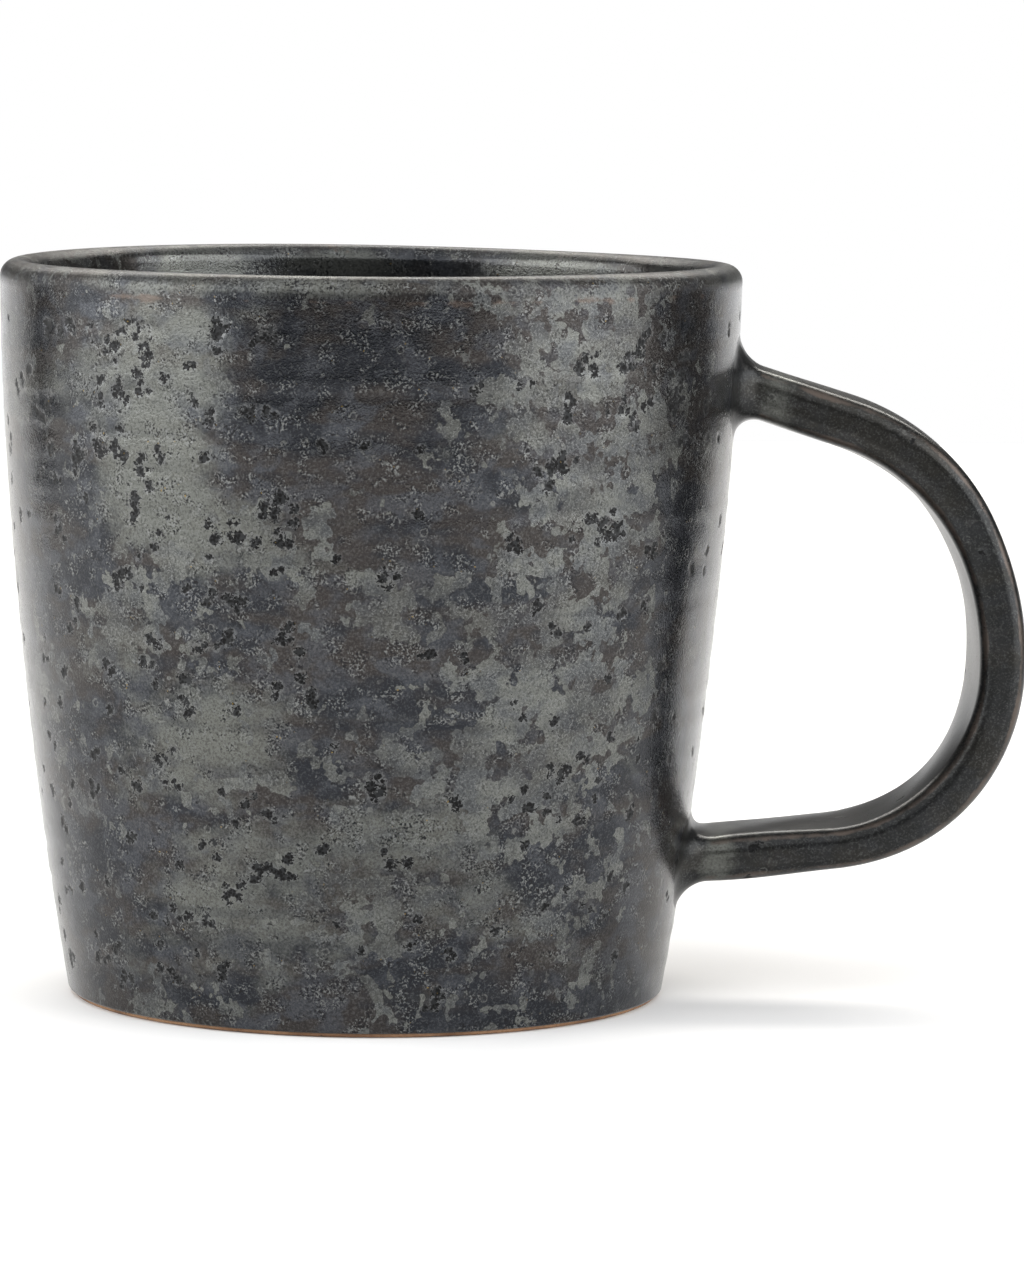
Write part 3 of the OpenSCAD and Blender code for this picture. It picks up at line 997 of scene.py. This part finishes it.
def handle_rings(step, fillet_angles, skin):
    """Rings from the upper root to the lower one."""
    headings = [-UPPER_SLOPE, -UPPER_SLOPE - SHOULDER_TURN, -UPPER_SLOPE - SHOULDER_TURN - BACK_TURN,
                LOWER_SLOPE - 180]
    turns = [(headings[0], SHOULDER_R, SHOULDER_TURN), (headings[1], BACK_R, BACK_TURN),
             (headings[2], HEEL_R, HEEL_TURN)]
    upper = np.array([float(wall_r(UPPER_ROOT_Z)), UPPER_ROOT_Z])
    lower = np.array([float(wall_r(LOWER_ROOT_Z)), LOWER_ROOT_Z])
    rest = lower - upper - sum(bend_step(*turn) for turn in turns)
    out, back = direction(headings[0]), direction(headings[3])
    upper_arm = cross2(rest, back) / cross2(out, back)
    start = upper + upper_arm * out
    rings = [arm_ring(UPPER_ROOT_Z, UPPER_SLOPE, a, skin) for a in fillet_angles]
    joined = strap_ring(start, headings[0], skin)
    rings += between(rings[-1], joined, step)
    at = start
    for heading, radius, turn in turns:
        for turned_by in spaced(0, turn, math.degrees(step / radius))[1:]:
            rings.append(strap_ring(at + bend_step(heading, radius, turned_by), heading - turned_by, skin))
        at = at + bend_step(heading, radius, turn)
    last = [arm_ring(LOWER_ROOT_Z, -LOWER_SLOPE, a, skin) for a in fillet_angles[::-1]]
    # The strap's section turns over on its way down, so the lower root is joined point for point, upside down
    order = mirrored_order()
    last = [(ring[order], breaks[order]) for ring, breaks in last]
    rings += between(rings[-1], last[0], step)[:-1]
    return rings + last


def mirrored_order():
    """For each point of the section, the index of its mirror image, up for down."""
    points, _, _ = section(strap_t(LOWER_ROOT_Z), 0.0)
    return np.array([int(np.argmin(np.hypot(*(points - target).T))) for target in points * np.array([1, -1])])


def between(a, b, step):
    """Rings between two, b included, point for point."""
    span = float(np.max(np.linalg.norm(b[0] - a[0], axis=1)))
    fractions = spaced(0, 1, step / span)[1:]
    return [(a[0] + (b[0] - a[0]) * f, a[1] + (b[1] - a[1]) * f) for f in fractions]


def handle_pits(rings):
    pits = []
    margin = len(rings) // 12
    for _ in range(HANDLE_CLUSTERS):
        k = int(rng.integers(margin, len(rings) - margin))
        ring = rings[k][0]
        j = int(rng.integers(0, len(ring)))
        for _ in range(int(rng.integers(1, 3))):
            pits.append((ring[j] + rng.normal(0, 0.3, 3), float(rng.uniform(0.3, 0.55))))
    return pits


def handle_piece():
    """The glaze over the strap and both fillets, closed by a skin on its clay side."""
    fillet_angles = 90 * np.linspace(0, 1, 16)
    shown = handle_rings(STRAP_STEP, fillet_angles, 0.0)
    hidden = handle_rings(HIDDEN_STRAP_STEP, fillet_angles[::3], GLAZE_T)[::-1]
    every = [r for r, _ in shown] + [r for r, _ in hidden]
    points, faces = rings_mesh(every, True)
    obj = make_object("handle_glaze_skin", points, faces)
    count = sum(len(r) for r, _ in shown)
    layer = np.concatenate([np.ones(count), np.zeros(len(points) - count)])
    pits = handle_pits(shown)
    normal = normals(obj.data)
    along = np.concatenate([np.full(len(r), i / len(shown)) for i, (r, _) in enumerate(shown)]
                           + [np.zeros(len(r)) for r, _ in hidden])
    swell = SWELL * (handle_waves(points[:, 1] / 8, along * 140) + 1)
    near_root = smoothstep(0.0, 0.1, along) * (1 - smoothstep(0.9, 1.0, along))
    reach = nearest_pits(points, pits) * layer * near_root
    amount = swell * layer * near_root - pit_profile(reach)
    set_coords(obj.data, points + normal * amount[:, None])
    edge = np.concatenate([b for _, b in shown] + [b for _, b in hidden])
    # The glaze is paler over both fillets
    pale = np.exp(-((along - 0.085) / 0.03) ** 2) + np.exp(-((along - 0.925) / 0.025) ** 2)
    finish_attributes(obj, reach, 0.1, 0.65 * pale, 0.95 * edge ** 3, 0.0)
    return obj


outer = outer_glaze_piece()
liner = liner_piece()
body = cup_body_piece()
base = base_glaze_piece()
grip = handle_piece()

for piece, node, slot_name, material in (
        (outer, "outer_glaze", "slate_glaze", glaze),
        (liner, "liner_glaze", "slate_glaze", glaze),
        (base, "base_glaze", "slate_glaze", glaze),
        (grip, "handle_glaze", "slate_glaze", handle_look),
        (body, "cup_body", "stoneware_clay", clay)):
    piece.data.materials.append(material)
    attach(piece, "root")
    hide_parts(node)

for node, material in (("handle", clay), ("upper_slip_joint", slip), ("lower_slip_joint", slip)):
    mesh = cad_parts[node].data
    if mesh.materials:
        for i in range(len(mesh.materials)):
            mesh.materials[i] = material
    else:
        mesh.materials.append(material)

# ---- Camera: fitted to the ellipses of the rim and the foot ----

CAMERA_AT = Vector((-0.0194, -0.7427, 0.1229))
CAMERA_HEADING = math.radians(2.86)
CAMERA_PITCH = math.radians(6.10)
CAMERA_ROLL = math.radians(0.65)
LENS = 170.8

camera_data = bpy.data.cameras.new("camera")
camera_data.sensor_width = 36
camera_data.lens = LENS
camera_data.clip_start = 0.05
camera_data.clip_end = 20
camera = bpy.data.objects.new("camera", camera_data)
bpy.context.scene.collection.objects.link(camera)
ahead = Vector((math.sin(CAMERA_HEADING) * math.cos(CAMERA_PITCH),
                math.cos(CAMERA_HEADING) * math.cos(CAMERA_PITCH),
                -math.sin(CAMERA_PITCH)))
level = ahead.cross(Vector((0, 0, 1))).normalized()
upright = level.cross(ahead)
right = level * math.cos(CAMERA_ROLL) + upright * math.sin(CAMERA_ROLL)
up = upright * math.cos(CAMERA_ROLL) - level * math.sin(CAMERA_ROLL)
turn = Matrix((right, up, -ahead)).transposed()
camera.matrix_world = Matrix.Translation(CAMERA_AT) @ turn.to_4x4()
bpy.context.scene.camera = camera

# ---- Light, floor and world ----

MUG_CENTRE = Vector((0, 0, 0.045))
BACKDROP = 1.0
FILL = 0.1


def softbox(name, azimuth, elevation, distance, wide, high, power, colour=(1, 1, 1)):
    """An area light that faces the mug. Azimuth 0 is on the camera's side, and 90 on the handle's."""
    data = bpy.data.lights.new(name, "AREA")
    data.shape = "RECTANGLE"
    data.size, data.size_y = wide, high
    data.energy = power
    data.color = colour
    obj = bpy.data.objects.new(name, data)
    a, e = math.radians(azimuth), math.radians(elevation)
    away = Vector((math.sin(a) * math.cos(e), -math.cos(a) * math.cos(e), math.sin(e)))
    obj.location = away * distance + MUG_CENTRE
    obj.rotation_euler = away.to_track_quat("Z", "Y").to_euler()
    obj.visible_camera = False
    bpy.context.scene.collection.objects.link(obj)


softbox("left_box", -78, 20, 0.9, 1.1, 0.75, 9.7)
softbox("right_box", 66, 20, 0.9, 0.9, 0.75, 8.0)
softbox("back_box", 180, 43, 1.5, 2.0, 0.35, 20, (1.0, 0.965, 0.91))
softbox("top_box", 0, 60, 1.0, 1.6, 1.5, 10)
# It carries the white of the floor on past its far edge, for the reflections near the lip
softbox("horizon_box", 180, 0, 1.0, 2.4, 0.14, 1.3)

floor_mesh = bpy.data.meshes.new("floor")
# It is cut away at each side of the mug, so the glaze shows a dark gap before the bright strip at its edge
corners = [(0.62, -0.75, 0), (0.62, 0.11, 0), (0.36, 0.07, 0), (0.36, 0.33, 0), (1.0, 0.92, 0),
           (-1.0, 0.92, 0), (-0.4, 0.36, 0), (-0.4, 0.2, 0), (-0.8, 0.4, 0), (-0.8, -0.75, 0)]
floor_mesh.from_pydata(corners, [], [(9, 0, 1, 2), (9, 2, 7), (9, 7, 8), (2, 3, 6, 7), (3, 4, 5, 6)])
floor = bpy.data.objects.new("floor", floor_mesh)
bpy.context.scene.collection.objects.link(floor)
paper = Nodes("pale_floor")
tone = paper.mix(paper.noise(paper.scaled(60, 60, 60), 3), (0.89, 0.89, 0.89, 1), (0.92, 0.92, 0.92, 1))
paper.link(tone, paper.shader.inputs["Base Color"])
paper.shader.inputs["Roughness"].default_value = 0.75
floor_mesh.materials.append(paper.material)

# The world is the white backdrop that the camera sees, and only a faint light on the mug
world = bpy.data.worlds.new("studio")
world.use_nodes = True
tree = world.node_tree
background = tree.nodes["Background"]
path = tree.nodes.new("ShaderNodeLightPath")
strength = tree.nodes.new("ShaderNodeMapRange")
strength.inputs["To Min"].default_value = FILL
strength.inputs["To Max"].default_value = BACKDROP
tree.links.new(path.outputs["Is Camera Ray"], strength.inputs["Value"])
tree.links.new(strength.outputs[0], background.inputs["Strength"])
background.inputs["Color"].default_value = (1, 1, 1, 1)
bpy.context.scene.world = world
bpy.context.scene.view_settings.view_transform = "Standard"
